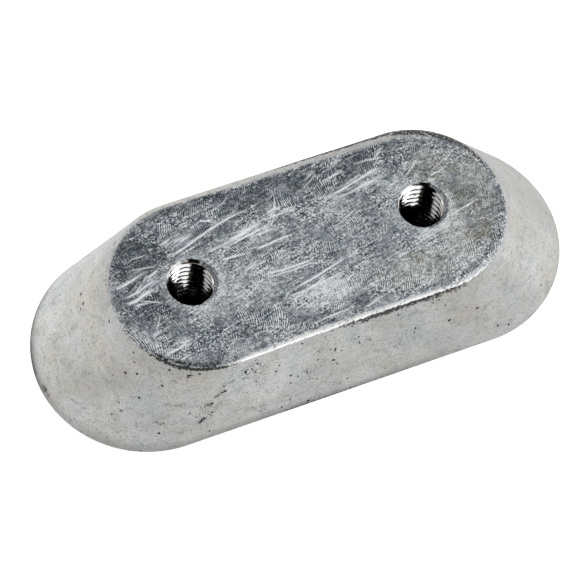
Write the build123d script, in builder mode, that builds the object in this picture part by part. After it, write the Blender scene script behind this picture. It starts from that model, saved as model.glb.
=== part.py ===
"""Sacrificial anode block for a stern drive: a cast zinc bar with round ends, a machined seat
on top and two blind tapped holes in the seat. Millimetres, +Z up out of the machined seat,
X along the bar, origin at the centre of the flat underside."""

import os
from math import radians, tan

from build123d import *

# Casting: a round-ended bar that stands on a short upright land and tapers from there to the
# seat, far more at its ends than along its sides. The seat's size is that of its sharp outline,
# before its edge is rounded.
base_length = 101.2
base_width = 41.3
seat_length = 73.4
seat_width = 32.6
height = 21.8
land_height = 1.9
land_edge_radius = 1.6
seat_edge_radius = 1.5

# Tapped holes, 3/8-16 UNC: each bore is at the tap drill's size, the thread is cut in its wall
# and a slight countersink opens its mouth.
hole_spacing = 44.45
tap_drill_diameter = 7.94
mouth_diameter = 9.15
countersink_angle = 90
drill_point_angle = 118
floor_thickness = 3.2  # metal between a drill point and the underside

# Centres of the end arcs, on the base and on the seat
base_arc_x = (base_length - base_width) / 2
seat_arc_x = (seat_length - seat_width) / 2

tap_drill_radius = tap_drill_diameter / 2
drill_point_depth = tap_drill_radius / tan(radians(drill_point_angle / 2))
bore_depth = height - floor_thickness - drill_point_depth


with BuildPart() as anode_block:
    # Straight middle of the bar, to one side: the drafted cross-section, cut off along the slant
    # where the round end begins
    with BuildSketch(Plane.YZ):
        with BuildLine():
            Polyline(
                (-base_width / 2, land_height),
                (base_width / 2, land_height),
                (seat_width / 2, height),
                (-seat_width / 2, height),
                close=True,
            )
        make_face()
    extrude(amount=base_arc_x)
    with BuildSketch(Plane.XZ):
        with BuildLine():
            Polyline(
                (0, land_height),
                (base_arc_x, land_height),
                (seat_arc_x, height),
                (0, height),
                close=True,
            )
        make_face()
    extrude(amount=base_width, both=True, mode=Mode.INTERSECT)

    # Round end: half of a cone that leans in over the bar, tangent to both drafted sides
    for z, arc_x, width in (
        (land_height, base_arc_x, base_width),
        (height, seat_arc_x, seat_width),
    ):
        with BuildSketch(Plane.XY.offset(z)):
            with BuildLine():
                CenterArc((arc_x, 0), width / 2, -90, 180)
                Line((arc_x, width / 2), (arc_x, -width / 2))
            make_face()
    loft(ruled=True)
    mirror(about=Plane.YZ)

    # Upright land round the base
    with BuildSketch(Plane.XY):
        SlotOverall(base_length, base_width)
    extrude(amount=land_height)

    fillet(anode_block.faces().sort_by(Axis.Z)[-1].edges(), radius=seat_edge_radius)
    fillet(anode_block.faces().sort_by(Axis.Z)[0].edges(), radius=land_edge_radius)

    # Tapped holes, bored down from the seat and ending in a drill point
    with Locations(Plane.XY.offset(height)):
        with GridLocations(hole_spacing, 0, 2, 1):
            CounterSinkHole(
                radius=tap_drill_radius,
                counter_sink_radius=mouth_diameter / 2,
                depth=bore_depth,
                counter_sink_angle=countersink_angle,
            )
    with Locations(Plane.XY.offset(height - bore_depth)):
        with GridLocations(hole_spacing, 0, 2, 1):
            Cone(
                bottom_radius=0,
                top_radius=tap_drill_radius,
                height=drill_point_depth,
                align=(Align.CENTER, Align.CENTER, Align.MAX),
                mode=Mode.SUBTRACT,
            )

anode_block.part.label = "anode_block"

os.makedirs("parts", exist_ok=True)
export_step(anode_block.part, "parts/anode_block.step")
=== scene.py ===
"""Looks of a stern drive's sacrificial anode: one cast zinc bar with a machined seat and two
tapped holes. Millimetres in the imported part's frame, and metres from the finished mesh on."""

from math import cos, pi, radians, sin, tan

import bpy
import numpy as np
from mathutils import Matrix, Vector
from mathutils.geometry import delaunay_2d_cdt


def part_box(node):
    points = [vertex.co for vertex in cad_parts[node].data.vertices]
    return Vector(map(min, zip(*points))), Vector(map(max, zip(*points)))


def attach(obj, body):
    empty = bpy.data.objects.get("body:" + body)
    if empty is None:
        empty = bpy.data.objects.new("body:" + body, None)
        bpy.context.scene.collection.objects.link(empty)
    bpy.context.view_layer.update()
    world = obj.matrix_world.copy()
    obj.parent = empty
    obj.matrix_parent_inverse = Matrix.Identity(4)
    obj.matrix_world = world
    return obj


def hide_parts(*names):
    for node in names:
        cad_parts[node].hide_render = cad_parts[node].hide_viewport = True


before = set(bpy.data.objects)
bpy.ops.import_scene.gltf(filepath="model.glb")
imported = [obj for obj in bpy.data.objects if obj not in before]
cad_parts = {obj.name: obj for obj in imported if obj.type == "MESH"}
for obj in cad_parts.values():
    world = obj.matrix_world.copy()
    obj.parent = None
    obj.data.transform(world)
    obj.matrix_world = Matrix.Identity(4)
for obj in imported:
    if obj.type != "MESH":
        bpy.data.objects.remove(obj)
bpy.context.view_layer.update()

MM = 0.001

# Casting. Its overall size comes from the frame, and the rest repeats the part's source.
block_low, block_high = [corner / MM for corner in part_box("anode_block")]
base_length = block_high.x - block_low.x
base_width = block_high.y - block_low.y
height = block_high.z
seat_length = 73.4
seat_width = 32.6
land_height = 1.9
land_edge_radius = 1.6
base_arc_radius = base_width / 2
seat_arc_radius = seat_width / 2
base_arc_x = base_length / 2 - base_arc_radius
seat_arc_x = seat_length / 2 - seat_arc_radius

# Tapped holes, 3/8-16 UNC: their thread, their countersink and the drill point below
hole_spacing = 44.45
bore_radius = 7.94 / 2
mouth_radius = 9.15 / 2
thread_pitch = 25.4 / 16
thread_root_radius = 9.525 / 2
thread_runout = 2 * thread_pitch
drill_point_angle = radians(118)
drill_tip_z = 3.2
bore_floor_z = drill_tip_z + bore_radius / tan(drill_point_angle / 2)
left_hole_x = -hole_spacing / 2
right_hole_x = hole_spacing / 2
# Where each thread starts, as a share of its pitch, and the height below which its hole is painted dark as
# shade
left_thread_phase, left_shade_z = 0.5, 7.5
right_thread_phase, right_shade_z = 0.75, 14.0

# Rim: its radius against that of an arc which would just touch the seat
rim_radius_ratio = 1.15

# Mesh density
near_step = 0.25
arc_step = 0.3
far_step = 0.5
seat_step = 0.5
underside_step = 1.6
bore_segments = 72
rows_per_pitch = 12
rim_rows = 10
# Rows of wall below the rim that its dirt and painted shade may reach
grime_and_shade_rows = 12
wall_rows = 60
land_rows = 6

# Places round the outline, anticlockwise from above, as outline_place gives them
RIGHT_END, FAR_RIGHT, FAR_LEFT, LEFT_END, NEAR_LEFT, NEAR_RIGHT = 0, 1, 2, 3, 4, 5
OUTLINE_PERIOD = 6

# How far the seat's edge lies inside the corner that the seat and the wall would make. The
# seat is cut deeper at the left, so there it reaches nearly to the wall.
RIM_INSET = [
    (RIGHT_END, 0.81), (0.25, 0.97), (0.5, 1.61), (0.75, 2.05), (FAR_RIGHT, 2.15), (1.5, 1.56),
    (FAR_LEFT, 1.08), (2.4, 0.59), (2.7, 0.32), (LEFT_END, 0.27), (3.4, 0.38), (3.7, 0.75),
    (NEAR_LEFT, 1.08), (NEAR_RIGHT, 1.18), (5.5, 0.97),
]
# How far the machined seat reaches past its nominal outline
SEAT_GROWTH = [
    (RIGHT_END, 0), (FAR_LEFT, 0), (2.5, 0.11), (LEFT_END, 0.27), (3.5, 0.59), (NEAR_LEFT, 0.32), (4.4, 0),
    (5.5, 0),
]
# How much of the rim's own skin is cut or worn away to bare metal
RIM_BARE = [
    (RIGHT_END, 0.8), (0.3, 0.6), (0.6, 0.1), (FAR_RIGHT, 0), (2.7, 0), (LEFT_END, 0.7), (3.3, 0.9),
    (NEAR_LEFT, 1), (NEAR_RIGHT, 1), (5.6, 1),
]
# How far the rim is burnished bright, with a painted highlight on the outer part of its curve
RIM_BURNISH_AND_HIGHLIGHT = [
    (RIGHT_END, 0.12), (FAR_RIGHT, 0), (3.75, 0), (NEAR_LEFT, 0.6), (4.1, 1), (4.8, 1), (NEAR_RIGHT, 0.8),
    (5.2, 0.5), (5.4, 0.3), (5.6, 0.15), (5.8, 0.1),
]

# Bright scratches on the seat, as half width, strength and the points that each passes. They
# are drawn wider and stronger than measured, because the mesh and the camera soften them.
SCRATCH_WIDENING = 1.4
SCRATCH_BOOST = 1.6
SCRATCHES = [
    (0.13, 0.95, (-25, 5.7), (-21.1, 6.7), (-15.6, 8.5), (-11.3, 9.6), (-7.3, 10)),
    (0.13, 0.8, (-24.9, 8.6), (-22.6, 9.3)), (0.11, 0.6, (-21.1, 8.1), (-20.3, 8.3)),
    (0.11, 0.5, (-23.3, 7.3), (-21.7, 7.9)), (0.16, 0.8, (-35.5, 3.1), (-32.9, 3.7), (-30.1, 4.4)),
    (0.13, 0.8, (-34.8, 1), (-32.3, 1.4), (-30.4, 2.8)),
    (0.13, 0.6, (-32.7, 1), (-29.9, 2.2), (-27.9, 2.6)),
    (0.22, 0.7, (-34.8, -0.2), (-32.6, 0), (-31.2, 0.6), (-29, 1.1)),
    (0.15, 0.8, (-29.5, 3.3), (-26.9, 4.3)), (0.13, 0.7, (-16.1, 2.3), (-10.1, 1.9)),
    (0.13, 0.75, (-9.3, 2), (-5.4, 2.5), (-1.8, 2.7)), (0.1, 0.9, (-13.2, -1.2), (-10.3, -0.5)),
    (0.11, 0.7, (-14.5, -5.8), (-12.2, -5)), (0.13, 0.65, (-10, -3), (-5.4, -3.3), (-0.4, -3.2)),
    (0.11, 0.5, (-8.8, -3.8), (-3.2, -3.9), (0.5, -3.7)),
    (0.13, 0.9, (-6.5, -7.5), (-3.2, -6.9), (0, -6.2), (2.7, -5.5), (5.6, -4.8)),
    (0.13, 0.55, (-7.5, -8.5), (-4.3, -8.4), (0, -7.8), (4.3, -7.3)),
    (0.13, 0.7, (-5.6, -14.7), (-1.1, -14.5), (3.2, -14.4)),
    (0.13, 0.6, (0, -15.6), (5.4, -15), (9, -13.8)), (0.24, 0.75, (-13.6, 5.3), (-9.7, 6), (-6.1, 7)),
    (0.15, 0.6, (-12.9, 4.6), (-5.4, 5.8)), (0.13, 0.5, (-9.7, 4.6), (-3.8, 5)),
    (0.13, 0.45, (-18.2, 4.6), (-10, 5.4)), (0.13, 0.55, (-5.4, 7.8), (-2.4, 8.7)),
    (0.15, 0.5, (-5.2, 7.1), (-0.5, 7.3)), (0.15, 0.8, (-31.8, -11.5), (-29.1, -11.1), (-27.1, -10.4)),
    (0.11, 0.6, (-32.6, -7.5), (-30.9, -7)), (0.11, 0.7, (-30.5, -13.6), (-27.7, -12.8)),
    (0.11, 0.5, (-36, -5.3), (-34.2, -4.7)), (0.12, 0.95, (7, 7.4), (10.8, 8.1), (14, 8.9), (18.2, 10)),
    (0.14, 0.5, (7, 6.5), (11.3, 6.8), (14, 7.4), (18.3, 8)), (0.14, 0.9, (9.3, 11), (10.9, 11.4)),
    (0.11, 0.4, (14, 12), (17.5, 11.7)), (0.11, 0.6, (18.1, 12.1), (19.2, 12.5)),
    (0.13, 0.6, (17.1, 5), (19.4, 5.7)), (0.11, 0.5, (4.2, 11.8), (5.9, 12.7)),
    (0.11, 0.5, (10.2, 13.5), (12.4, 13.5)), (0.1, 0.8, (18.7, -5.8), (19.7, -5.4)),
]

# Metal smeared round the right hole and a burr on its edge
SMEARS = [
    (0.14, 0.5, (19.6, -6), (20.8, -6.2), (22.4, -6)), (0.1, 0.5, (21.8, -5.5), (23.6, -5.4)),
    (0.14, 0.6, (24.2, -5.5), (25.4, -4.9), (26.4, -4.1)), (0.1, 0.5, (26.9, -4.3), (27.6, -3)),
    (0.1, 0.5, (24.6, -6.6), (26.2, -7.5), (27.6, -8.3)), (0.12, 0.4, (25.4, -6.2), (26.9, -6.4)),
    (0.18, 0.9, (25.4, 4.5), (26.2, 3.9)),
]

# Soft dark patches on the seat, as centre, half sizes and strength
DARK_PATCHES = [
    (0, 14.5, 34, 6.5, 0.95), (-28, 5.5, 9, 9, 1.05), (-12, 10.5, 10, 4, 0.8), (-35.5, -1, 2.5, 8, 0.7),
    (25, 2, 7, 6, 0.4), (-30.5, -2, 6, 7, 1), (0, -13.5, 10, 1.4, 0.5), (-18, -12.5, 5, 2, 0.4),
    (-29.1, 7.1, 5.92, 2.58, 0.45), (-5.5, 9.2, 0.97, 0.86, 0.9), (-7.1, 8.2, 1.18, 0.97, 0.6),
    (-1.7, 5.7, 1.83, 0.65, 0.6), (-9.9, -8.1, 1.08, 0.43, 0.5), (-8.5, -8.2, 0.75, 0.24, 0.9),
    (1.7, 12.8, 2.58, 1.51, 0.5), (2.6, 10.7, 1.51, 1.18, 0.45), (5, -12.9, 3.88, 0.97, 0.5),
    (-3.2, -14, 4.09, 0.65, 0.45), (-9.7, -14.6, 5.38, 1.08, 0.35), (34, 6.7, 0.59, 0.75, 0.9),
    (33.7, 4.5, 0.54, 0.43, 0.7), (28.6, -3.7, 1.83, 3.45, 0.45), (-23.7, -11.3, 4.31, 3.66, 0.25),
    (-1.6, 13.2, 8.61, 1.94, 0.35), (10.6, 12.7, 1.29, 0.65, 0.5), (28.3, -7.2, 2.8, 0.97, 0.4),
    (-6.5, 13.8, 7.54, 1.29, 0.3), (13.6, -9.3, 1.94, 0.75, 0.4), (11.2, -14.4, 2.58, 0.54, 0.4),
]

# Soft light patches on the seat: rubbed metal
LIGHT_PATCHES = [
    (21, -12, 15, 5.5, 0.75), (-1, -10.5, 7, 3.2, 1.5), (-18.5, -5.5, 5, 3, 0.5),
    (-29.5, -11.5, 5, 2.2, 0.6), (24.5, -5.5, 2.4, 0.9, 2.2), (20, -5.8, 2.2, 0.8, 1.6),
    (27.2, -3.4, 0.9, 1.7, 2), (26.6, -7.8, 2, 0.7, 1.5), (25.7, 4.2, 0.7, 0.6, 3), (28.5, 9, 4, 3, 0.3),
    (-15, 5.5, 7, 2, 0.3), (-33.6, -8.6, 1.4, 3.01, 0.6), (-29.6, -12.9, 2.58, 1.4, 0.55),
    (-13.5, -7.5, 4.84, 1.72, 0.35), (-7, 5.4, 5.92, 1.72, 0.35), (16.7, 6.5, 3.45, 2.58, 0.3),
    (-2.2, -11.4, 3.45, 0.86, 0.45), (32.3, -2.7, 2.8, 4.31, 0.25), (23.7, -12.9, 9.69, 1.94, 0.3),
    (-15.6, 1.6, 1.29, 3.23, 0.3), (24.2, -7.1, 2.37, 0.54, 0.5), (9.7, 5, 3.23, 1.29, 0.3),
    (-35.5, -1.1, 1.08, 3.23, 0.3),
]

# Brown and greenish stains on the seat
STAIN_PATCHES = [
    (30, -3, 9, 13, 0.35), (26.5, 6.5, 4.5, 4, 0.4), (17, -11, 8, 4, 0.35), (29.7, -8.2, 3.66, 2.15, 0.6),
    (17.4, -9.3, 2.8, 1.51, 0.55), (9.9, -9.9, 1.4, 0.86, 0.4), (28.5, 12.9, 3.88, 1.08, 0.7),
    (34.7, 6.5, 1.29, 2.58, 0.7), (29.1, 5.6, 1.94, 1.72, 0.35), (22.6, -10.3, 4.31, 1.4, 0.4),
    (-5.4, 9, 0.75, 0.65, 0.7), (31.8, -10.8, 3.23, 1.72, 0.45), (29.9, 10.6, 0.97, 0.75, 0.5),
    (-28.6, 3.7, 0.75, 0.32, 0.5),
]

# Pits in the near wall, as place along the bar, height, half width and half height
WALL_PITS = [
    (-18.9, 17.2, 0.26, 0.67), (-17.7, 17.4, 0.19, 0.27), (-19.3, 15.5, 0.22, 0.22),
    (-12.5, 15.7, 0.22, 0.27), (-13.1, 14.2, 0.26, 0.32), (-1.7, 14.6, 0.24, 0.65), (-2.6, 15, 0.15, 0.27),
    (2, 15.7, 0.19, 0.22), (2.8, 15.9, 0.22, 0.27), (3, 14.2, 0.14, 0.38), (5.1, 13.8, 0.22, 0.24),
    (-0.5, 13.7, 0.27, 0.19), (-1.3, 10.3, 0.22, 0.27), (-25.9, 3.6, 0.22, 0.27), (-29.4, 10.3, 0.14, 0.32),
    (-33.4, 16.5, 0.22, 0.32), (-8.9, 10.6, 0.14, 0.43), (-7.1, 10.8, 0.11, 0.65), (-5, 13.3, 0.19, 0.38),
    (-8.1, 19.5, 0.22, 0.32), (-16.1, 18.3, 0.16, 0.22), (20.6, 11.7, 0.37, 0.43), (13.7, 11.7, 0.22, 0.22),
    (13.9, 12.7, 0.19, 0.32), (0.8, 5, 0.22, 0.27), (10.4, 18.3, 0.22, 0.32), (30.6, 5, 0.27, 0.32),
    (-27.2, 19.8, 0.22, 0.27), (23.8, 13.8, 0.19, 0.22), (26.1, 12.4, 0.38, 0.32),
    (-28.9, 19.5, 0.54, 0.17),
]

# Flow wrinkles in the near wall, as half width, strength and the points that each passes
WRINKLE_WIDENING = 1.6
WRINKLE_FADE = 0.1
WALL_WRINKLES = [
    (0.17, 0.7, (-33.6, 12.6), (-31.8, 12.5), (-29.7, 12.8)), (0.11, 0.5, (-31, 12.2), (-27.1, 11.7)),
    (0.26, 0.9, (-27, 11.6), (-25.8, 11.5), (-25, 11.4)),
    (0.22, 0.7, (-25.2, 12.7), (-23.9, 13.5), (-22.4, 13.8)),
    (0.22, 0.7, (-28.1, 6.9), (-27.1, 7.6), (-26.6, 8.2)), (0.13, 0.5, (-25.5, 8.2), (-25.4, 7.4)),
    (0.13, 0.7, (-29.7, 18.7), (-28.5, 19.7), (-27.9, 19.3)), (0.11, 0.5, (-31.9, 17.8), (-30.5, 18.2)),
    (0.22, 0.6, (-3, 5.7), (-1.7, 5), (-0.2, 4.1)), (0.17, 0.5, (-3.1, 4.6), (-2, 4.6), (-0.6, 4.3)),
    (0.32, 0.4, (11.4, 5), (13.1, 4.4)), (0.13, 0.6, (17, 19.6), (17, 18.1)),
    (0.27, 0.9, (4.1, 20.5), (4.5, 19.2)), (0.15, 0.35, (-23.6, 15.1), (-22.5, 15.4)),
    (0.22, 0.4, (-36.6, 8.7), (-35, 8.6), (-33.7, 8)),
]

# Pits and dark smudges of the left end's wall, as place seen from above, radius and strength
LEFT_PITS = [
    (-41.8, 14.4, 0.3, 0.8), (-42, 11.5, 0.3, 0.6), (-39.9, 7.7, 0.4, 0.8), (-40.3, 5.5, 0.4, 0.8),
    (-40.9, 4.9, 0.3, 0.9), (-31.3, 11.9, 0.4, 1), (-32.1, 12.1, 0.3, 0.8), (-38.2, -1.3, 0.3, 0.8),
    (-36.4, -8.2, 0.3, 0.9), (-38.3, -9.7, 0.34, 1), (-36.8, -11, 0.34, 1), (-37.2, -13.7, 0.35, 0.9),
    (-36.6, -9.5, 0.3, 0.7), (-40.5, -3.3, 0.3, 0.7), (-42, -1.7, 0.25, 0.6), (-40.7, 0.3, 0.3, 0.6),
    (-41.9, -12.9, 0.35, 0.7),
]
LEFT_SMUDGES = [
    (-50.1, -1.4, 0.5, 1.35), (-50, -2.4, 0.6, 1.45), (-49.8, -3.2, 0.5, 1.35), (-41.4, -13.4, 1.2, 0.5),
    (-44.2, -6.9, 4, 0.35), (-46.8, -6.1, 4, 0.3), (-39.4, -9.5, 3, 0.4), (-38, 3, 2, 0.2),
    (-33.5, 12.5, 1.5, 0.25),
]

# How pitted the cast skin is round the outline
WALL_PITTED = [
    (RIGHT_END, 0.15), (FAR_RIGHT, 0.5), (FAR_LEFT, 0.4), (2.5, 0.1), (LEFT_END, 0.1), (3.5, 0.4),
    (NEAR_LEFT, 1.3), (4.3, 1.2), (4.7, 1), (NEAR_RIGHT, 0.8), (5.3, 0.3),
]

# Grime and painted shade in the corner below the rim: how strong they are, and how far down they reach
RIM_GRIME_AND_SHADE = [
    (RIGHT_END, 0.15), (0.35, 0.5), (0.62, 0.95), (0.9, 0.5), (1.2, 0.4), (1.5, 0.5), (1.8, 0.2),
    (2.3, 0.2), (2.75, 0.6), (LEFT_END, 0.4), (3.3, 0.7), (3.5, 1.1), (3.7, 1.2), (3.9, 1.1),
    (NEAR_LEFT, 0.6), (4.1, 0.2), (4.4, 0.3), (4.5, 0.9), (4.75, 1.1), (NEAR_RIGHT, 0.95), (5.25, 0.45),
    (5.6, 0.2),
]
GRIME_AND_SHADE_DEPTH = [
    (RIGHT_END, 0.3), (3.3, 0.2), (3.65, 0.4), (NEAR_LEFT, 0.1), (4.4, 0.3), (4.6, 0.9), (NEAR_RIGHT, 1),
    (5.3, 0.5),
]
# Dark specks on the rim itself: how strong they are, and how far over the rim they start
RIM_SPECKS = [
    (RIGHT_END, 0.6), (0.5, 0.9), (FAR_RIGHT, 0.9), (1.2, 1), (1.45, 0.9), (1.6, 0.2), (FAR_LEFT, 0),
    (3.3, 0), (3.5, 0.7), (3.8, 0.6), (4.2, 0), (5.2, 0), (5.6, 0.4),
]
SPECKS_START = [
    (RIGHT_END, 0.05), (0.8, 0.05), (1.1, 0.3), (1.6, 0.3), (3.3, 0.05),
]

# Dirt and a painted contact shadow along the foot, and painted shade along the lower edge, at the foot,
# on the whole wall and below the rim
FOOT_GRIME_AND_SHADOW = [
    (RIGHT_END, 0.3), (2.5, 0.3), (LEFT_END, 0.5), (3.6, 0.5), (NEAR_LEFT, 0.3), (4.25, 0.4), (4.35, 1),
    (4.5, 1), (4.58, 0.5), (4.66, 0.9), (4.75, 0.4), (NEAR_RIGHT, 0.3),
]
EDGE_SHADE = [
    (RIGHT_END, 0.4), (FAR_LEFT, 0.3), (2.5, 1.2), (2.9, 1.35), (3.3, 0.8), (3.6, 0.8), (NEAR_LEFT, 0.9),
    (4.3, 1), (4.75, 1), (NEAR_RIGHT, 0.4),
]
FOOT_SHADE = [
    (RIGHT_END, 0.2), (FAR_LEFT, 0.3), (2.6, 0.5), (LEFT_END, 0.7), (3.6, 0.7), (NEAR_LEFT, 0.3),
    (4.3, 0.25), (4.75, 0.4), (NEAR_RIGHT, 0.3),
]
WALL_SHADE = [
    (RIGHT_END, 0.6), (0.5, 0.8), (FAR_RIGHT, 0.6), (FAR_LEFT, 0.1), (2.5, 0), (4.3, 0.05), (4.7, 0.25),
    (NEAR_RIGHT, 0.4), (5.3, 0.25), (5.5, 0.05), (5.7, 0.15),
]
TOP_SHADE = [
    (RIGHT_END, 0.3), (FAR_LEFT, 0.1), (2.6, 0.45), (LEFT_END, 0.4), (3.6, 0.45), (NEAR_LEFT, 0.2),
    (4.5, 0.25), (NEAR_RIGHT, 0.3),
]

# Shade that starts at one height of the wall and is full at another
SHADE_BANDS = [(EDGE_SHADE, 4.0, 1.9), (FOOT_SHADE, 4.5, 1.5), (TOP_SHADE, 16.5, 20.5)]

# Seeded scratches, and how far they stay from the seat's edge and from the holes
FINE_SCRATCHES = 330
FINE_SEED = 7
BUNDLED_SCRATCHES = 150
BUNDLED_SEED = 5
EDGE_MARGIN = 2.6
HOLE_MARGIN = 0.6
# Half width of a scratch's mesh strip and of the painted shade beside it, against its own
STRIP_REACH = 1.7
BESIDE_REACH = 2.2
SCRATCH_DEPTH = 0.015

# Material slots of the casting, and how metallic its cast and machined surfaces look
SKIN, RIM, SEAT, BORE = 0, 1, 2, 3
SKIN_METALLIC = 0.1
SEAT_METALLIC = 0.55

# Cutter that made the seat in three passes along the bar, each with its centre line and the
# side to which its ripples bow, and the two edges at which one pass meets the next
CUTTER_RADIUS = 8.0
CUTTER_FEED = 0.4
FAR_PASS, MIDDLE_PASS, NEAR_PASS = (9.5, 1), (0.0, -1), (-9.5, -1)
NEAR_PASS_EDGE = -3.2
FAR_PASS_EDGE = 6.0

# Colours, linear
SEAT_DARK = (0.04, 0.05, 0.06)
SEAT_MIDDLE = (0.3, 0.326, 0.35)
SEAT_LIGHT = (0.9, 0.93, 0.95)
# Scratches: bare metal with a painted glint
SCRATCH_GLINT_COLOUR = (0.94, 0.97, 1.0)
# Burnished metal, painted nearly white as a highlight too
BURNISHED_HIGHLIGHT = (0.97, 0.97, 0.96)
STAIN_PALE = (0.42, 0.41, 0.31)
STAIN_DARK = (0.03, 0.029, 0.024)
SKIN_LIGHT = (0.905, 0.91, 0.9)
SKIN_DARK = (0.73, 0.735, 0.72)
SKIN_COOL = (0.73, 0.77, 0.765)
SKIN_WARM = (0.77, 0.76, 0.70)
SKIN_SHADE = (0.3, 0.3, 0.29)
PIT_COLOUR = (0.012, 0.011, 0.01)
# Near black of dirt and of painted shade
GRIME_AND_SHADE_COLOUR = (0.012, 0.011, 0.01)
BORE_BRIGHT = (0.95, 0.94, 0.92)
# Matt countersink, painted darker as shade
BORE_MATT_SHADE = (0.42, 0.44, 0.45)
BORE_BROWN = (0.12, 0.08, 0.05)
# Painted shade in the holes
BORE_SHADE = (0.008, 0.007, 0.006)

# Light levels
CAMERA_GLOW = 0.85
MIRROR_GLOW = 0.72
ROOM_LEVEL = 0.08
TABLE_LEVEL = 0.85
# Light panels of the studio, as level, direction and half size: azimuth then elevation
PANELS = [
    (0.76, (85, 15), (66, 14)), (1, (72, 42), (74, 16)), (1.75, (-115, 13), (63, 13)),
    (0.45, (-124, 28), (54, 26)), (0.88, (165, 45), (45, 38)),
]
# Dark part of the room, where the photographer stands
DARK_CORNER = ((-25, 42), (47, 30))
PANEL_SOFTNESS = 3
# Elevations between which the white table ends and the room begins
TABLE_EDGE = (4, 12)

# Camera: direction, roll and lens, with the point that it aims at and its distance from it
CAMERA_AZIMUTH = -32.62
CAMERA_ELEVATION = 62.84
CAMERA_ROLL = 10.98
CAMERA_AIM = (-5.35, -6.12, 17.73)
CAMERA_DISTANCE = 637.7
SENSOR_WIDTH = 36
FOCAL_LENGTH = 222.6


def smoothstep(low, high, value):
    """0 below low, 1 above high, and a smooth rise between."""
    t = np.clip((value - low) / (high - low), 0, 1)
    return t * t * (3 - 2 * t)


def outline_place(angle, centre):
    """Place round the outline: a whole number at each end of an arc or of a side, and halfway
    round the right end it is 0."""
    near_side = angle > 1.5 * pi - 1e-6
    along = np.where(near_side, (3 + centre) / 2, (1 - centre) / 2)
    return angle / (pi / 2) + along


def round_outline(place, keys):
    """A value that goes smoothly from key to key round the outline."""
    places, values = [np.array(column, float) for column in zip(*keys)]
    places = np.append(places, places[0] + OUTLINE_PERIOD)
    values = np.append(values, values[0])
    place = np.mod(place - places[0], OUTLINE_PERIOD) + places[0]
    after = np.clip(np.searchsorted(places, place, side="right"), 1, len(places) - 1)
    share = (place - places[after - 1]) / (places[after] - places[after - 1])
    share = smoothstep(0, 1, share)
    return values[after - 1] * (1 - share) + values[after] * share


def distance_to_path(points, path):
    """Distance from each point to a line through the path's points, and how far along it."""
    best = np.full(len(points), np.inf)
    along = np.zeros(len(points))
    legs = list(zip(path, path[1:]))
    for number, (start, end) in enumerate(legs):
        start, end = np.array(start), np.array(end)
        step = end - start
        t = np.clip((points - start) @ step / (step @ step), 0, 1)
        away = np.hypot(*(points - start - t[:, None] * step).T)
        closer = away < best
        best[closer] = away[closer]
        along[closer] = (number + t[closer]) / len(legs)
    return best, along


def path_mask(points, half_width, strength, path, fade):
    """Strength of a line at each point, falling off to its sides and towards its ends."""
    mask = np.zeros(len(points))
    low, high = np.min(path, 0) - 1, np.max(path, 0) + 1
    near = np.all((points > low) & (points < high), 1)
    away, along = distance_to_path(points[near], path)
    ends = smoothstep(0, fade, along) * smoothstep(1, 1 - fade, along)
    mask[near] = strength * ends * np.exp(-(away / half_width) ** 2)
    return mask


def lines_mask(points, lines, fade=0.15):
    mask = np.zeros(len(points))
    for half_width, strength, *path in lines:
        mask = np.maximum(mask, path_mask(points, half_width, strength, path, fade))
    return mask


def spots_mask(points, spots):
    """Strength of soft round spots, given as centre, half sizes and strength."""
    mask = np.zeros(len(points))
    for x, y, half_x, half_y, strength in spots:
        away = np.hypot((points[:, 0] - x) / half_x, (points[:, 1] - y) / half_y)
        mask = np.maximum(mask, strength * smoothstep(1.25, 0.45, away))
    return mask


def ring_mask(points, centre_x, radius, half_width):
    away = np.hypot(points[:, 0] - centre_x, points[:, 1]) - radius
    return np.exp(-(away / half_width) ** 2)


def clear_of_edges(ends):
    """True for a scratch that stays clear of the seat's edge and of the holes."""
    holes = np.array([(left_hole_x, 0), (right_hole_x, 0)])
    beyond = np.maximum(np.abs(ends[:, 0]) - seat_arc_x, 0)
    clear = np.hypot(beyond, ends[:, 1]).max() < seat_arc_radius - EDGE_MARGIN
    return clear and distance_to_path(holes, ends)[0].min() > mouth_radius + HOLE_MARGIN


def fine_scratches():
    """Short fine scratches, mostly along the bar."""
    chance = np.random.default_rng(FINE_SEED)
    lines = []
    while len(lines) < FINE_SCRATCHES:
        middle = chance.uniform(-1, 1, 2) * (seat_length / 2, seat_width / 2)
        slant = chance.normal(0.2, 0.35)
        reach = chance.uniform(0.3, 1.0) ** 2 * 2.8
        leg = np.array((cos(slant), sin(slant))) * reach
        ends = np.array([middle - leg, middle + leg])
        if clear_of_edges(ends):
            half_width = chance.uniform(0.06, 0.13)
            strength = chance.uniform(0.15, 1.0) ** 2
            lines.append((half_width, strength, tuple(ends[0]), tuple(ends[1])))
    return lines


def bundled_scratches():
    """Fine scratches beside the listed ones, each nearly parallel to its neighbour."""
    chance = np.random.default_rng(BUNDLED_SEED)
    lines = []
    while len(lines) < BUNDLED_SCRATCHES:
        path = SCRATCHES[chance.integers(len(SCRATCHES))][2:]
        number = chance.integers(len(path) - 1)
        start, end = np.array(path[number]), np.array(path[number + 1])
        middle = start + (end - start) * chance.uniform(0, 1) + chance.normal(0, 0.6, 2)
        slant = np.arctan2(*(end - start)[::-1]) + chance.normal(0, 0.07)
        leg = np.array((cos(slant), sin(slant))) * chance.uniform(0.4, 1.8)
        ends = np.array([middle - leg, middle + leg])
        if clear_of_edges(ends):
            half_width = chance.uniform(0.08, 0.16)
            strength = chance.uniform(0.3, 0.9)
            lines.append((half_width, strength, tuple(ends[0]), tuple(ends[1])))
    return lines


def widened(lines, widening, boost=1.0):
    """Lines with their half widths and strengths raised."""
    return [(widening * half_width, min(1, boost * strength), *path)
            for half_width, strength, *path in lines]


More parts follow.
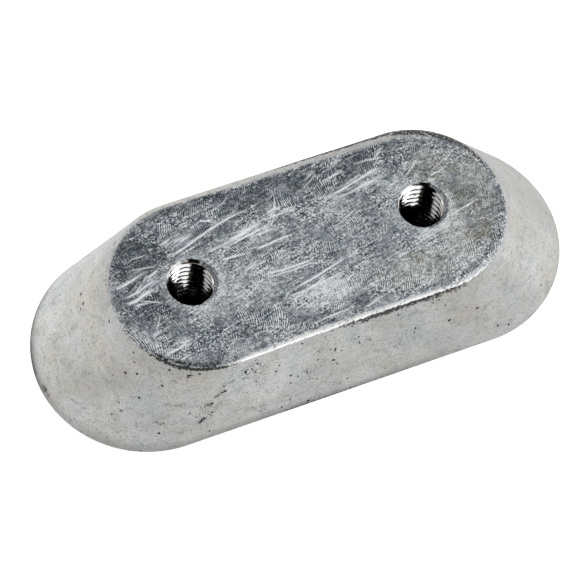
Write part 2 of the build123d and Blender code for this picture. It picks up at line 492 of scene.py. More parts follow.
def all_scratches():
    """Listed scratches and smears, and the seeded ones."""
    placed = widened(SCRATCHES, SCRATCH_WIDENING, SCRATCH_BOOST) + SMEARS
    return placed + bundled_scratches() + fine_scratches()


def strip_cuts(lines):
    """Middle and both sides of each line, as paths for the edges of a mesh."""
    cuts = []
    for half_width, _, *path in lines:
        path = np.array(path)
        along = np.gradient(path, axis=0)
        across = np.stack([-along[:, 1], along[:, 0]], -1) / np.hypot(*along.T)[:, None]
        cuts += [path + across * side * STRIP_REACH * half_width for side in (-1, 0, 1)]
    return cuts


class Surface:
    """Points, faces and painted masks of the casting, gathered region by region."""

    def __init__(self):
        self.points = np.zeros((0, 3))
        self.faces = []
        self.slots = []
        self.masks = {}

    def add_points(self, points):
        """Adds points and returns their numbers."""
        first = len(self.points)
        self.points = np.concatenate([self.points, np.array(points, float).reshape(-1, 3)])
        return np.arange(first, len(self.points))

    def paint(self, name, numbers, values):
        """Raises a mask, which is 0 until it is painted, to the values at these points."""
        held = self.masks.get(name, np.zeros(0))
        held = np.append(held, np.zeros(len(self.points) - len(held)))
        held[numbers] = np.maximum(held[numbers], values)
        self.masks[name] = held

    def add_band(self, upper, lower, slot):
        """Quads between two closed rings of equal length, numbered anticlockwise from above,
        that face away from the rings' middle where the first ring is the upper one."""
        quads = np.stack([upper, lower, np.roll(lower, -1), np.roll(upper, -1)], -1)
        self.faces += [tuple(quad) for quad in quads.tolist()]
        self.slots += [slot] * len(quads)

    def add_triangles(self, triangles, slot):
        self.faces += [tuple(triangle) for triangle in np.asarray(triangles).tolist()]
        self.slots += [slot] * len(triangles)


def outline_stations():
    """Stations round the bar, anticlockwise from above. Each has its angle and how far its
    centre has gone towards an end, from -1 to 1: the centre waits while an end arc turns."""
    arc_count = round(pi * seat_arc_radius / arc_step)
    far_count = round(2 * seat_arc_x / far_step)
    near_count = round(2 * seat_arc_x / near_step)
    arc = (np.arange(arc_count) + 0.5) / arc_count
    far = (np.arange(far_count) + 0.5) / far_count
    near = (np.arange(near_count) + 0.5) / near_count
    angle = np.concatenate([pi * arc - pi / 2, np.full(far_count, pi / 2),
                            pi * arc + pi / 2, np.full(near_count, 3 * pi / 2)])
    centre = np.concatenate([np.ones(arc_count), 1 - 2 * far,
                             -np.ones(arc_count), 2 * near - 1])
    return angle, centre


def outline_profile(angle, centre, place):
    """Rings of points from the seat's edge, over the rim and down the wall and the land to the
    underside, as one array of rings by stations by coordinates."""
    normal = np.stack([np.cos(angle), np.sin(angle)], -1)
    along = np.stack([centre, 0 * centre], -1)
    reach = seat_arc_radius + round_outline(place, SEAT_GROWTH)
    seat = seat_arc_x * along + normal * reach[:, None]
    base = base_arc_x * along + normal * base_arc_radius
    draft = np.arctan2(((base - seat) * normal).sum(-1), height - land_height)
    inset = round_outline(place, RIM_INSET)
    radius = rim_radius_ratio * inset * np.tan(pi / 4 + draft / 2)
    drop = -inset * np.sin(draft) + np.sqrt(
        2 * inset * radius * np.cos(draft) - (inset * np.cos(draft)) ** 2)

    # Rim: an arc that is tangent to the wall and cut off by the seat
    arc_out = drop * np.sin(draft) - radius * np.cos(draft)
    arc_z = height - drop * np.cos(draft) - radius * np.sin(draft)
    start = np.arctan2(height - arc_z, -inset - arc_out)
    rings = []
    for row in range(rim_rows + 1):
        turn = start + (draft - start) * row / rim_rows
        outward = arc_out + radius * np.cos(turn)
        z = arc_z + radius * np.sin(turn)
        rings.append(np.concatenate([seat + normal * outward[:, None], z[:, None]], -1))
    wall_top = rings[-1]
    wall_foot = np.concatenate([base, np.full((len(base), 1), land_height)], -1)
    for row in range(1, wall_rows + 1):
        rings.append(wall_top + (wall_foot - wall_top) * row / wall_rows)
    for row in range(1, land_rows + 1):
        turn = pi / 2 * row / land_rows
        inward = normal * land_edge_radius * (1 - cos(turn))
        z = np.full((len(base), 1), land_edge_radius * (1 - sin(turn)))
        rings.append(np.concatenate([base - inward, z], -1))
    return np.array(rings)


def lattice(step, half_length, half_width):
    """Points of a triangular lattice over a rectangle about the origin."""
    rise = step * sin(pi / 3)
    rows = int(half_width / rise)
    points = []
    for row in range(-rows, rows + 1):
        x = np.arange(-half_length, half_length, step) + (row % 2) * step / 2
        points.append(np.stack([x, np.full(len(x), row * rise)], -1))
    return np.concatenate(points)


def inside_ring(points, ring, margin):
    """True where a point lies inside a ring, further in than margin."""
    x, y = points.T
    inside = np.zeros(len(points), bool)
    for (ax, ay), (bx, by) in zip(ring, np.roll(ring, -1, 0)):
        level = (ay > y) != (by > y)
        left = (bx - ax) * (y - ay) > (by - ay) * (x - ax)
        inside ^= level & (left == (by > ay))
    if margin:
        inside &= distance_to_path(points, [*ring, ring[0]])[0] > margin
    return inside


def inside_hole(points, surface, ring, margin):
    """True where a point lies inside a hole's ring, or outside it by less than margin."""
    rim = surface.points[ring, :2]
    middle = rim.mean(0)
    chord = np.hypot(*(rim[0] - middle)) * cos(pi / len(ring))
    return np.hypot(*(points - middle).T) < chord + margin


def fill_flat(surface, edge, holes, cuts, step, slot, upward):
    """Triangles across a flat face, between its outer ring and the rings of its holes, with
    edges along the cuts. Returns the numbers of the points that it adds."""
    outer = surface.points[edge, :2]
    z = surface.points[edge[0], 2]
    inner = lattice(step, base_length / 2, base_width / 2)
    inner = inner[inside_ring(inner, outer, 0.5 * step)]
    for ring in holes:
        inner = inner[~inside_hole(inner, surface, ring, 0.5 * step)]
    flat = np.concatenate([outer, *(surface.points[ring, :2] for ring in holes), *cuts, inner])
    bounds = []
    first = 0
    for ring in [edge, *holes]:
        loop = np.arange(first, first + len(ring))
        bounds += zip(loop.tolist(), np.roll(loop, -1).tolist())
        first += len(ring)
    for cut in cuts:
        bounds += [(number, number + 1) for number in range(first, first + len(cut) - 1)]
        first += len(cut)
    found = delaunay_2d_cdt([Vector(point) for point in flat], bounds, [], 0, 1e-4)
    spots = np.array([tuple(spot) for spot in found[0]])
    held = np.concatenate([edge, *holes])
    number = np.array([held[origin[0]] if origin and origin[0] < len(held) else -1
                       for origin in found[3]])
    new = number < 0
    added = surface.add_points(np.column_stack([spots[new], np.full(new.sum(), z)]))
    number[new] = added
    triangles = np.array(found[2])
    middle = spots[triangles].mean(1)
    keep = inside_ring(middle, outer, 0)
    for ring in holes:
        keep &= ~inside_hole(middle, surface, ring, 0)
    triangles = number[triangles[keep]]
    surface.add_triangles(triangles if upward else triangles[:, ::-1], slot)
    return added


def thread_depth(phase):
    """Depth of an internal 60 degree thread at a phase of 0 to 1 along its pitch, with a crest
    of a quarter and a root of an eighth of the pitch."""
    half_root, half_crest = 1 / 16, 1 / 8
    rise = (np.abs(phase - 0.5) - half_root) / (0.5 - half_root - half_crest)
    return (thread_root_radius - bore_radius) * (1 - np.clip(rise, 0, 1))


def add_bore(surface, centre_x, phase, shade_z):
    """A countersunk and threaded hole with its drill point, painted dark as shade on its crests and roots,
    down its left edge, and below the given height except on its right side. Returns the ring of its mouth."""
    turn = 2 * pi * np.arange(bore_segments) / bore_segments
    rightward = np.cos(turn)
    left = smoothstep(cos(radians(100)), cos(radians(150)), rightward)
    right = smoothstep(0.2, 0.6, rightward)
    # The share of the pitch at which the bright flank ends and the crest's painted shade begins, and a line
    # of painted shade down the left side
    flank_end = 0.88 - 0.1 * left + 0.1 * right
    left_edge = smoothstep(0.35, 0.1, np.abs(turn - 1.05 * pi))
    # The right side of the countersink is matt and painted darker as shade
    matt_shade_side = smoothstep(0.3, 0.5, np.cos(turn + radians(20)))
    matt_shade_depth = mouth_radius - bore_radius + 0.25
    count = round((height - bore_floor_z) / thread_pitch * rows_per_pitch)
    heights = list(np.linspace(height, bore_floor_z, count + 1))
    heights += list(np.linspace(bore_floor_z, drill_tip_z, 5)[1:-1])
    rings = []
    for z in heights:
        down = height - z
        along = (down / thread_pitch + turn / (2 * pi) + phase) % 1
        thread = bore_radius + thread_depth(along) * smoothstep(0, thread_runout, z - bore_floor_z)
        thread = np.minimum(thread, mouth_radius + 0.4 * down)
        flank = smoothstep(0.6, 0.68, along) * smoothstep(flank_end + 0.02, flank_end - 0.02, along)
        # Painted shade: on crests and roots, deep down on all but the right side, and down the left edge
        painted_shade = (1 - flank) * smoothstep(0.0, 0.05, thread - mouth_radius + down)
        shaded = left_edge * smoothstep(0.05, 0.2, down)
        deep_shade = smoothstep(shade_z + 0.6, shade_z - 0.6, z) * smoothstep(0.7, 0.3, rightward)
        radius = np.maximum(thread, mouth_radius - down)
        radius *= min(1, (z - drill_tip_z) / (bore_floor_z - drill_tip_z))
        ring = np.stack([centre_x + radius * rightward, radius * np.sin(turn),
                         np.full(bore_segments, z)], -1)
        rings.append(surface.add_points(ring))
        matt_shade = matt_shade_side * (down < matt_shade_depth)
        surface.paint("matt_shade", rings[-1], matt_shade)
        surface.paint("painted_shade", rings[-1], np.maximum(np.maximum(painted_shade, deep_shade), shaded) * (1 - matt_shade))
    for upper, lower in zip(rings, rings[1:]):
        surface.add_band(lower, upper, BORE)
    tip = surface.add_points((centre_x, 0, drill_tip_z))
    last = rings[-1]
    fan = np.stack([np.full(len(last), tip[0]), last, np.roll(last, -1)], -1)
    surface.add_triangles(fan, BORE)
    return rings[0]


def paint_rim(surface, rings, place):
    """Masks of the bare parts of the rim, of its burnished parts with a painted highlight, and of dirt and
    painted shade on it and on the wall's top.
    """
    bare = round_outline(place, RIM_BARE)
    burnish_and_highlight = round_outline(place, RIM_BURNISH_AND_HIGHLIGHT)
    start = 0.75 - 0.45 * burnish_and_highlight
    grime_and_shade = round_outline(place, RIM_GRIME_AND_SHADE)
    depth = round_outline(place, GRIME_AND_SHADE_DEPTH)
    specks = round_outline(place, RIM_SPECKS)
    first = round_outline(place, SPECKS_START)
    wall_top_z = surface.points[rings[rim_rows], 2]
    for row, ring in enumerate(rings[:rim_rows + grime_and_shade_rows]):
        down = row / rim_rows
        below = np.maximum(wall_top_z - surface.points[ring, 2], 0)
        surface.paint("bare", ring, smoothstep(1.15, 0.95, down + 1 - bare) if row else 1)
        # The burnished band on the rim's outer part, next to the wall, is painted as a highlight
        band = smoothstep(start, start + 0.3, down) * smoothstep(1.1, 0.95, down)
        surface.paint("burnish_and_highlight", ring, np.minimum(1.5 * burnish_and_highlight, 1) * band)
        # Dirt and painted shade in the corner below the rim
        reach = smoothstep(0.7, 0.95, down) * smoothstep(1.6 * depth + 0.4, 0.1, below)
        surface.paint("grime_and_shade", ring, grime_and_shade * reach)
        started = smoothstep(first, first + 0.2, down)
        surface.paint("grime_and_shade", ring, specks * started * smoothstep(1.2, 0.9, down))


def paint_seat(surface, numbers, scratches):
    """Masks of the seat's scratches with the painted shadow beside them, stains, and light and dark
    patches.
    """
    spots = surface.points[numbers, :2]
    lines = lines_mask(spots, scratches)
    light = spots_mask(spots, LIGHT_PATCHES)
    halo = ring_mask(spots, left_hole_x, mouth_radius + 0.7, 0.8)
    ring = ring_mask(spots, right_hole_x, mouth_radius + 0.5, 0.7)
    smeared = smoothstep(2.5, 0.5, spots[:, 1]) * smoothstep(-4.0, -1.0, spots[:, 0] - right_hole_x)
    halo = np.maximum(halo, ring * (0.3 + 0.7 * smeared))
    light = np.maximum(light, np.maximum(2.2 * ring * smeared, 1.3 * halo))
    surface.paint("halo", numbers, halo)
    surface.paint("bare", numbers, 1)
    surface.paint("scratch", numbers, lines)
    # A painted shadow beside each scratch, as on the shaded side of a groove
    beside = lines_mask(spots, widened(scratches, BESIDE_REACH))
    surface.paint("dark", numbers, 0.6 * np.maximum(beside - 1.3 * lines, 0))
    surface.paint("dark", numbers, spots_mask(spots, DARK_PATCHES))
    surface.paint("light", numbers, light)
    surface.paint("stain", numbers, spots_mask(spots, STAIN_PATCHES))
    surface.points[numbers, 2] -= SCRATCH_DEPTH * lines


def paint_shade(surface, rings, place):
    """Dirt and a painted contact shadow along the bar's foot, and soft painted shade at the foot, on the
    wall and below the rim.
    """
    foot = round_outline(place, FOOT_GRIME_AND_SHADOW)
    wall = round_outline(place, WALL_SHADE)
    bands = [(round_outline(place, keys), start_z, full_z) for keys, start_z, full_z in SHADE_BANDS]
    for ring in rings:
        z = surface.points[ring, 2]
        # Dirt and a painted contact shadow along the foot
        surface.paint("grime_and_shade", ring, foot * smoothstep(2.4, 1.7, z) * smoothstep(0.1, 0.4, z))
        surface.paint("shade", ring, wall)
        for strength, start_z, full_z in bands:
            surface.paint("shade", ring, strength * smoothstep(start_z, full_z, z))


def paint_walls(surface, rings, place):
    """Masks of the near wall's flow wrinkles, of the left end's pits and smudges, and of how
    pitted the skin is."""
    pitted = round_outline(place, WALL_PITTED)
    for ring in rings:
        surface.paint("pitted", ring, pitted)
    numbers = np.concatenate(rings)
    points = surface.points[numbers]
    wall = points[points[:, 2] > land_height + 0.1]
    for mask, spots in [("pit", LEFT_PITS), ("shade", LEFT_SMUDGES)]:
        for x, y, radius, strength in spots:
            middle = wall[np.argmin(np.hypot(wall[:, 0] - x, wall[:, 1] - y))]
            away = np.linalg.norm(points - middle, axis=1) / radius
            surface.paint(mask, numbers, strength * smoothstep(1.4, 0.5, away))
    near = points[:, 1] < 0
    spots = points[near][:, [0, 2]]
    lines = widened(WALL_WRINKLES, WRINKLE_WIDENING)
    beside = lines_mask(spots, widened(lines, BESIDE_REACH), WRINKLE_FADE)
    surface.paint("wrinkle", numbers[near], lines_mask(spots, lines, WRINKLE_FADE))
    surface.paint("shade", numbers[near], 0.6 * beside)


def build_casting():
    """The whole surface of the casting, with its masks."""
    surface = Surface()
    angle, centre = outline_stations()
    place = outline_place(angle, centre)
    rings = [surface.add_points(ring) for ring in outline_profile(angle, centre, place)]
    for row, (upper, lower) in enumerate(zip(rings, rings[1:])):
        surface.add_band(upper, lower, RIM if row < rim_rows else SKIN)
    mouths = [add_bore(surface, left_hole_x, left_thread_phase, left_shade_z),
              add_bore(surface, right_hole_x, right_thread_phase, right_shade_z)]
    scratches = all_scratches()
    seat = fill_flat(surface, rings[0], mouths, strip_cuts(scratches), seat_step, SEAT, True)
    fill_flat(surface, rings[-1], [], [], underside_step, SKIN, False)
    paint_rim(surface, rings, place)
    paint_seat(surface, seat, scratches)
    paint_shade(surface, rings, place)
    paint_walls(surface, rings[rim_rows:], place)
    return surface


def make_piece(name, surface, materials):
    """A mesh object in metres, with its masks as attributes."""
    used, order = np.unique(np.concatenate(surface.faces), return_inverse=True)
    ends = np.cumsum([len(face) for face in surface.faces])[:-1]
    faces = [tuple(face) for face in np.split(order, ends)]
    mesh = bpy.data.meshes.new(name)
    mesh.from_pydata((surface.points[used] * MM).tolist(), [], faces)
    mesh.polygons.foreach_set("material_index", surface.slots)
    mesh.polygons.foreach_set("use_smooth", [True] * len(mesh.polygons))
    mesh.set_sharp_from_angle(angle=radians(28))
    for mask, values in surface.masks.items():
        values = np.append(values, np.zeros(len(surface.points) - len(values)))
        layer = mesh.attributes.new(mask, "FLOAT", "POINT")
        layer.data.foreach_set("value", values[used])
    for material in materials:
        mesh.materials.append(material)
    mesh.update()
    piece = bpy.data.objects.new(name, mesh)
    bpy.context.scene.collection.objects.link(piece)
    return piece


class Nodes:
    """A node tree that is added to one node at a time."""

    def __init__(self, tree):
        self.tree = tree

    def put(self, value, socket):
        if isinstance(value, bpy.types.NodeSocket):
            self.tree.links.new(value, socket)
        elif value is not None:
            socket.default_value = value

    def add(self, kind, inputs, **settings):
        """A node with its settings, and its inputs by name or number. Returns the node."""
        node = self.tree.nodes.new(kind)
        for name, value in settings.items():
            setattr(node, name, value)
        for name, value in inputs.items():
            self.put(value, node.inputs[name])
        return node

    def math(self, operation, a, b=None, c=None):
        return self.add("ShaderNodeMath", {0: a, 1: b, 2: c}, operation=operation).outputs[0]

    def product(self, *factors):
        result = factors[0]
        for factor in factors[1:]:
            result = self.math("MULTIPLY", result, factor)
        return result

    def split(self, vector):
        return self.add("ShaderNodeSeparateXYZ", {0: vector}).outputs

    def ramp(self, value, low, high, start=0.0, end=1.0):
        """A smooth rise from start to end while the value goes from low to high."""
        inputs = {"Value": value, "From Min": low, "From Max": high, "To Min": start, "To Max": end}
        node = self.add("ShaderNodeMapRange", inputs, interpolation_type="SMOOTHSTEP")
        return node.outputs[0]


class Look(Nodes):
    """A material. Its vector mm is the place in millimetres."""

    def __init__(self, name):
        self.material = bpy.data.materials.new(name)
        self.material.use_nodes = True
        super().__init__(self.material.node_tree)
        self.shader = self.tree.nodes["Principled BSDF"]
        place = self.add("ShaderNodeTexCoord", {}).outputs["Object"]
        self.mm = self.moved(place, scale=1 / MM)

    def moved(self, vector, scale=1.0, stretch=(1, 1, 1), shift=(0, 0, 0), turn=0.0):
        """The vector turned about Z, stretched and shifted."""
        size = [scale * part for part in stretch]
        turned = self.add("ShaderNodeMapping", {"Vector": vector, "Rotation": (0, 0, turn)})
        inputs = {"Vector": turned.outputs[0], "Scale": size, "Location": shift}
        return self.add("ShaderNodeMapping", inputs).outputs[0]

    def noise(self, scale, detail=2.0, roughness=0.5, **moves):
        """Noise of about 0 to 1, with scale in features per millimetre."""
        vector = self.moved(self.mm, **moves) if moves else self.mm
        inputs = {"Vector": vector, "Scale": scale, "Detail": detail, "Roughness": roughness}
        return self.add("ShaderNodeTexNoise", inputs).outputs[0]

    def layered(self, tone, *layers):
        """The tone with noises added round it, each with its weight."""
        for part, weight in layers:
            tone = self.math("MULTIPLY_ADD", self.math("SUBTRACT", part, 0.5), weight, tone)
        return tone

    def blend(self, factor, a, b):
        """Colours a and b mixed by a factor."""
        node = self.add("ShaderNodeMix", {0: factor}, data_type="RGBA")
        self.put(a if isinstance(a, bpy.types.NodeSocket) else (*a, 1), node.inputs[6])
        self.put(b if isinstance(b, bpy.types.NodeSocket) else (*b, 1), node.inputs[7])
        return node.outputs[2]

    def between(self, factor, a, b):
        """Numbers a and b mixed by a factor."""
        return self.add("ShaderNodeMix", {0: factor, 2: a, 3: b}, data_type="FLOAT").outputs[0]

    def mask(self, name):
        return self.add("ShaderNodeAttribute", {}, attribute_name=name).outputs["Fac"]

    def bump(self, height, depth):
        """A normal bent by a height of 0 to 1 that stands for a depth in millimetres."""
        inputs = {"Height": height, "Distance": depth * MM, "Strength": 1.0}
        return self.add("ShaderNodeBump", inputs).outputs[0]

    def finish(self, colour, metallic, roughness, normal):
        self.put(colour, self.shader.inputs["Base Color"])
        self.put(metallic, self.shader.inputs["Metallic"])
        self.put(roughness, self.shader.inputs["Roughness"])
        self.put(normal, self.shader.inputs["Normal"])
        return self.material


def cutter_marks(look):
    """Ripples of three passes along the bar with a small end mill, from -1 to 1."""
    x, y, _ = look.split(look.mm)
    wander = look.noise(0.5, 2)
    passes = []
    for centre_y, side in (FAR_PASS, MIDDLE_PASS, NEAR_PASS):
        off = look.math("SUBTRACT", y, centre_y)
        inside = look.math("SUBTRACT", CUTTER_RADIUS ** 2, look.math("MULTIPLY", off, off))
        bow = look.math("SQRT", look.math("MAXIMUM", inside, 0.0))
        start = look.math("MULTIPLY_ADD", bow, side, x)
        start = look.math("MULTIPLY_ADD", wander, 0.9, start)
        passes.append(look.math("SINE", look.math("MULTIPLY", start, 2 * pi / CUTTER_FEED)))
    edge = look.math("MULTIPLY_ADD", look.noise(0.25, 1), 3.0, y)
    far, middle, near = passes
    over_near = look.ramp(edge, NEAR_PASS_EDGE - 0.4, NEAR_PASS_EDGE + 0.4)
    over_far = look.ramp(edge, FAR_PASS_EDGE - 0.4, FAR_PASS_EDGE + 0.4)
    return look.between(over_far, look.between(over_near, near, middle), far)


def machined_colour(look, marks):
    """Cut zinc: blue grey, mottled, rippled, scratched and stained."""
    grain = look.noise(4.2, 2, 0.65)
    specks = look.noise(2.3, 2, 0.6, shift=(5, 0, 0))
    mottle = look.noise(0.8, 3, 0.6)
    cloud = look.noise(0.14, 2, 0.5)
    streaks = look.noise(1.0, 3, 0.65, stretch=(0.28, 3.4, 1), turn=-0.2)
    shown = look.ramp(look.noise(0.3, 2, 0.5, shift=(17, 3, 0)), 0.48, 0.62)
    tone = look.product(marks, shown, 0.75)
    tone = look.layered(tone, (grain, 4.0), (specks, 3.3), (streaks, 2.6))
    tone = look.product(tone, look.ramp(look.noise(0.22, 2, 0.5), 0.4, 0.62, 0.65, 1.45))
    tone = look.layered(tone, (mottle, 2.1), (cloud, 1.5))
    tone = look.product(tone, look.ramp(look.mask("halo"), 0, 1, 1, 0.7))
    tone = look.math("MULTIPLY_ADD", look.mask("light"), 0.42, tone)
    tone = look.math("MULTIPLY_ADD", look.mask("dark"), -0.6, tone)
    low = look.math("MINIMUM", look.math("ADD", tone, 1.0), 1.0)
    colour = look.blend(low, SEAT_DARK, SEAT_MIDDLE)
    colour = look.blend(look.math("MAXIMUM", tone, 0.0), colour, SEAT_LIGHT)
    speckle = look.ramp(look.noise(3.2, 2, 0.7, shift=(0, 0, 9)), 0.5, 0.6)
    stain = look.product(look.mask("stain"), look.ramp(look.noise(0.5, 3, 0.6), 0.38, 0.58, 0.35, 1.25))
    colour = look.blend(look.product(stain, 0.7), colour, STAIN_PALE)
    colour = look.blend(look.product(look.ramp(stain, 0.15, 0.6), speckle, 0.85), colour, STAIN_DARK)
    # Scratches painted nearly white: bare metal with a painted glint
    broken = look.ramp(look.noise(2.0, 2, 0.6), 0.25, 0.5, 0.7, 1.0)
    return look.blend(look.product(look.mask("scratch"), broken), colour, SCRATCH_GLINT_COLOUR)


def skin_colour(look):
    """As-cast skin: pale grey with faint warm and cool clouds, flow streaks and darker blots."""
    cloud = look.noise(0.1, 4, 0.65)
    tint = look.noise(0.09, 3, 0.55, shift=(40, 0, 0))
    blots = look.noise(0.45, 4, 0.7, shift=(0, 11, 0))
    streaks = look.noise(0.9, 4, 0.7, stretch=(0.45, 0.8, 1.7))
    grain = look.noise(2.6, 3, 0.8)
    colour = look.blend(look.ramp(cloud, 0.35, 0.65), SKIN_DARK, SKIN_LIGHT)
    colour = look.blend(look.ramp(tint, 0.5, 0.64, 0, 0.6), colour, SKIN_COOL)
    colour = look.blend(look.ramp(tint, 0.5, 0.36, 0, 0.9), colour, SKIN_WARM)
    colour = look.blend(look.ramp(blots, 0.52, 0.7, 0, 0.45), colour, SKIN_SHADE)
    upright = look.ramp(look.split(look.mm)[2], 0, 0.5, 0.2, 1)
    streaks = look.product(look.ramp(streaks, 0.46, 0.3, 0, 0.5), upright)
    colour = look.blend(streaks, colour, SKIN_SHADE)
    # Painted shade and the left end's smudges, from the shade mask; where the mask is strongest they go
    # nearly black
    shade = look.mask("shade")
    colour = look.blend(look.math("MINIMUM", look.product(shade, 0.6), 0.7), colour, SKIN_SHADE)
    deep = look.ramp(look.math("MULTIPLY_ADD", look.noise(1.2, 3, 0.7), 0.8, shade), 1.3, 1.85)
    colour = look.blend(look.product(deep, 0.85), colour, GRIME_AND_SHADE_COLOUR)
    return look.blend(look.ramp(grain, 0.54, 0.27, 0.0, 0.8), colour, SKIN_SHADE)


def skin_pits(look):
    """Small scattered pits of the cast skin and specks in its wrinkles, 1 in their middle."""
    cells = look.add("ShaderNodeTexVoronoi", {"Vector": look.mm, "Scale": 0.6})
    chance = look.split(cells.outputs["Color"])
    size = look.ramp(chance[1], 0, 1, 0.06, 0.17)
    scattered = look.ramp(look.math("SUBTRACT", cells.outputs["Distance"], size), 0.03, -0.02)
    scattered = look.product(scattered, look.ramp(chance[0], 0.72, 0.74))
    scattered = look.product(scattered, look.ramp(look.mask("pitted"), 0, 0.6))
    specks = look.math("MULTIPLY_ADD", look.mask("wrinkle"), 0.29, look.noise(3.2, 3, 0.7))
    crowd = look.noise(0.16, 2, 0.5, shift=(0, 0, 30))
    crowd = look.product(look.ramp(crowd, 0.48, 0.62, 0, 0.1), look.mask("pitted"))
    return look.math("MAXIMUM", scattered, look.ramp(look.math("ADD", specks, crowd), 0.69, 0.75))


def placed_pits(look):
    """Listed pits of the near wall, 1 in their middle."""
    half_reach = 300
    ragged = look.math("MULTIPLY_ADD", look.noise(1.6, 2), 0.9, -0.45)
    pits = None
    for x, z, half_x, half_z in WALL_PITS:
        inputs = {"Vector": look.mm, "Location": (x, 0, z), "Scale": (half_x, half_reach, half_z)}
        local = look.add("ShaderNodeMapping", inputs, vector_type="TEXTURE").outputs[0]
        away = look.add("ShaderNodeVectorMath", {0: local}, operation="LENGTH").outputs["Value"]
        pit = look.ramp(look.math("ADD", away, ragged), 1.1, 0.5)
        pits = pit if pits is None else look.math("MAXIMUM", pits, pit)
    return look.product(pits, look.ramp(look.split(look.mm)[1], 0, -1))


def with_grime_and_shade(look, colour):
    """The colour with ragged dark marks where that mask is painted: dirt and specks in places, painted
    shade below the rim and a painted contact shadow along the foot.
    """
    grime_and_shade = look.math("MULTIPLY_ADD", look.mask("grime_and_shade"), 0.32, look.noise(2.0, 4, 0.75))
    grime_and_shade = look.product(look.ramp(grime_and_shade, 0.68, 0.77), look.ramp(look.mask("grime_and_shade"), 0, 0.3), 0.98)
    return look.blend(grime_and_shade, colour, GRIME_AND_SHADE_COLOUR)


def skin_roughness(look):
    return look.ramp(look.noise(0.8, 2), 0.3, 0.7, 0.5, 0.68)


def metal_roughness(look):
    return look.ramp(look.noise(2.0, 2), 0.3, 0.7, 0.3, 0.5)


def metal_relief(look, marks):
    return look.math("MULTIPLY_ADD", marks, 0.15, look.noise(2.6, 2, 0.6))


def skin_look():
    """As-cast walls, land and underside."""
    look = Look("cast_zinc")
    pits = look.math("MAXIMUM", skin_pits(look), placed_pits(look))
    ragged = look.math("MULTIPLY_ADD", look.noise(3.0, 2), 0.8, -0.4)
    pits = look.math("MAXIMUM", pits, look.ramp(look.math("ADD", look.mask("pit"), ragged), 0.3, 0.7))
    colour = look.blend(look.product(pits, 0.99), skin_colour(look), PIT_COLOUR)
    metallic = look.between(pits, SKIN_METALLIC, 1.0)
    relief = look.math("SUBTRACT", look.product(look.noise(1.3, 3, 0.6), 0.35), pits)
    normal = look.bump(relief, 0.18)
    return look.finish(with_grime_and_shade(look, colour), metallic, skin_roughness(look), normal)


def seat_look():
    """Machined seat."""
    look = Look("machined_zinc")
    marks = cutter_marks(look)
    normal = look.bump(metal_relief(look, marks), 0.05)
    colour = machined_colour(look, marks)
    metallic = look.between(look.mask("scratch"), SEAT_METALLIC, 1.0)
    roughness = look.between(look.mask("scratch"), metal_roughness(look), 0.2)
    return look.finish(colour, metallic, roughness, normal)


def rim_look():
    """Rounded edge of the casting, cut bare in places, burnished with a painted highlight in others, and
    dirty with painted shade in places.
    """
    look = Look("rim_zinc")
    bare = look.mask("bare")
    marks = cutter_marks(look)
    broken = look.ramp(look.noise(1.4, 3, 0.7), 0.3, 0.5)
    # Burnished metal with a painted highlight, where that mask is painted
    bright = look.product(look.mask("burnish_and_highlight"), broken)
    metal = look.blend(bright, machined_colour(look, marks), BURNISHED_HIGHLIGHT)
    colour = look.blend(bare, skin_colour(look), metal)
    metallic = look.between(bare, SKIN_METALLIC, SEAT_METALLIC)
    metallic = look.between(bright, metallic, 1.0)
    roughness = look.between(bare, skin_roughness(look), metal_roughness(look))
    normal = look.bump(metal_relief(look, marks), 0.05)
    return look.finish(with_grime_and_shade(look, colour), metallic, roughness, normal)


def bore_look():
    """Countersink and thread: bright flanks, with painted shade on crests and roots and further down, and a
    matt right side of the countersink with painted shade.
    """
    look = Look("cut_thread")
    z = look.split(look.mm)[2]
    rusty = look.ramp(look.noise(0.9, 3, 0.6), 0.62, 0.7)
    painted_shade = look.math("MULTIPLY_ADD", look.noise(2.5, 2), 0.5, look.math("ADD", look.mask("painted_shade"), -0.25))
    # The hole is also painted dark as shade from 6 mm down, fully below 4 mm
    painted_shade = look.math("MAXIMUM", look.ramp(painted_shade, 0.3, 0.6), look.ramp(z, 6.0, 4.0))
    colour = look.blend(look.product(rusty, 0.8), BORE_BRIGHT, BORE_BROWN)
    colour = look.blend(painted_shade, colour, BORE_SHADE)
    rough = look.ramp(look.noise(3.5, 3, 0.7), 0.38, 0.62)
    # Matt right side of the countersink, painted darker as shade
    colour = look.blend(look.mask("matt_shade"), colour, look.blend(rough, SEAT_DARK, BORE_MATT_SHADE))
    roughness = look.ramp(look.noise(1.5, 2), 0.3, 0.7, 0.08, 0.16)
    roughness = look.between(look.mask("matt_shade"), roughness, 0.55)
    normal = look.bump(look.noise(2.5, 2), 0.012)
    return look.finish(colour, 1.0, roughness, normal)


def from_angles(azimuth, elevation):
    """Direction from the origin: azimuth 0 is the near side, and it turns to the right."""
    flat = cos(elevation)
    return Vector((sin(azimuth) * flat, -cos(azimuth) * flat, sin(elevation)))


def add_camera():
    """Long lens high above the near left of the bar, rolled a little."""
    azimuth = radians(CAMERA_AZIMUTH)
    roll = radians(CAMERA_ROLL)
    back = from_angles(azimuth, radians(CAMERA_ELEVATION))
    level = Vector((cos(azimuth), sin(azimuth), 0))
    rise = back.cross(level)
    right = level * cos(roll) + rise * sin(roll)
    up = rise * cos(roll) - level * sin(roll)
    data = bpy.data.cameras.new("camera")
    data.sensor_width = SENSOR_WIDTH
    data.lens = FOCAL_LENGTH
    data.clip_start = 0.01
    data.clip_end = 20
    camera = bpy.data.objects.new("camera", data)
    turn = Matrix((right, up, back)).transposed().to_4x4()
    place = (Vector(CAMERA_AIM) + back * CAMERA_DISTANCE) * MM
    camera.matrix_world = Matrix.Translation(place) @ turn
    bpy.context.scene.collection.objects.link(camera)
    bpy.context.scene.camera = camera


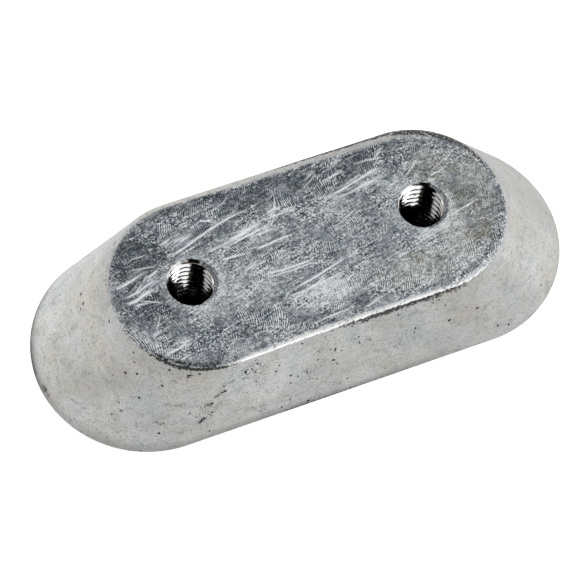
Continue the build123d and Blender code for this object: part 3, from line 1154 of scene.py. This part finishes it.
def add_floor():
    """White floor. It shows white in the picture and in reflections, and keeps the shadow."""
    half = 1.5
    mesh = bpy.data.meshes.new("floor")
    corners = [(-half, -half, 0), (half, -half, 0), (half, half, 0), (-half, half, 0)]
    mesh.from_pydata(corners, [], [(0, 1, 2, 3)])
    floor = bpy.data.objects.new("floor", mesh)
    bpy.context.scene.collection.objects.link(floor)
    look = Look("white_sweep")
    path = look.add("ShaderNodeLightPath", {}).outputs
    glow = look.math("MULTIPLY", path["Is Glossy Ray"], MIRROR_GLOW)
    glow = look.math("MULTIPLY_ADD", path["Is Camera Ray"], CAMERA_GLOW, glow)
    look.shader.inputs["Base Color"].default_value = (0.8, 0.8, 0.8, 1)
    look.shader.inputs["Roughness"].default_value = 0.9
    look.shader.inputs["Emission Color"].default_value = (1, 1, 1, 1)
    look.put(glow, look.shader.inputs["Emission Strength"])
    mesh.materials.append(look.material)


def panel_light(nodes, direction, level, centre, half_size):
    """Level of a soft-edged light panel in each direction, outwards from the bar."""
    azimuth, elevation = centre
    toward = from_angles(radians(azimuth), 0)
    side = Vector((0, 0, 1)).cross(toward)
    forward = nodes.add("ShaderNodeVectorMath", {0: direction, 1: toward}, operation="DOT_PRODUCT")
    sideways = nodes.add("ShaderNodeVectorMath", {0: direction, 1: side}, operation="DOT_PRODUCT")
    turn = nodes.math("ARCTAN2", sideways.outputs["Value"], forward.outputs["Value"])
    rise = nodes.math("ARCSINE", nodes.split(direction)[2])
    off = nodes.math("ABSOLUTE", nodes.math("SUBTRACT", rise, radians(elevation)))
    across, upward = [radians(half) for half in half_size]
    soft = radians(PANEL_SOFTNESS)
    shape = nodes.ramp(nodes.math("ABSOLUTE", turn), across + soft, across - soft)
    return nodes.product(shape, nodes.ramp(off, upward + soft, upward - soft), level)


def add_world():
    """A dim room with a white table, and light panels round the bar."""
    world = bpy.data.worlds.new("studio")
    bpy.context.scene.world = world
    world.use_nodes = True
    nodes = Nodes(world.node_tree)
    direction = nodes.add("ShaderNodeTexCoord", {}).outputs["Generated"]
    rise = nodes.split(direction)[2]
    low, high = [sin(radians(angle)) for angle in TABLE_EDGE]
    total = nodes.ramp(rise, high, low, ROOM_LEVEL, TABLE_LEVEL)
    lit = nodes.math("SUBTRACT", 1.0, panel_light(nodes, direction, 1.0, *DARK_CORNER))
    total = nodes.math("MULTIPLY", total, lit)
    for level, centre, half_size in PANELS:
        total = nodes.math("MAXIMUM", total, panel_light(nodes, direction, level, centre, half_size))
    background = nodes.tree.nodes["Background"]
    background.inputs["Color"].default_value = (1, 1, 1, 1)
    nodes.put(total, background.inputs["Strength"])


def add_softbox(name, azimuth, elevation, distance, size, power):
    """A square lamp that faces the origin, in metres and watts."""
    data = bpy.data.lights.new(name, "AREA")
    data.shape = "SQUARE"
    data.size = size
    data.energy = power
    lamp = bpy.data.objects.new(name, data)
    toward = from_angles(azimuth, elevation)
    lamp.location = toward * distance
    lamp.rotation_euler = toward.to_track_quat("Z", "Y").to_euler()
    bpy.context.scene.collection.objects.link(lamp)


add_camera()
add_floor()
add_world()
add_softbox("front_right", radians(50), radians(35), distance=0.7, size=0.3, power=0.7)
bpy.context.scene.view_settings.view_transform = "Standard"

materials = [skin_look(), rim_look(), seat_look(), bore_look()]
casting = make_piece("anode_casting", build_casting(), materials)
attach(casting, "root")
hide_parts("anode_block")
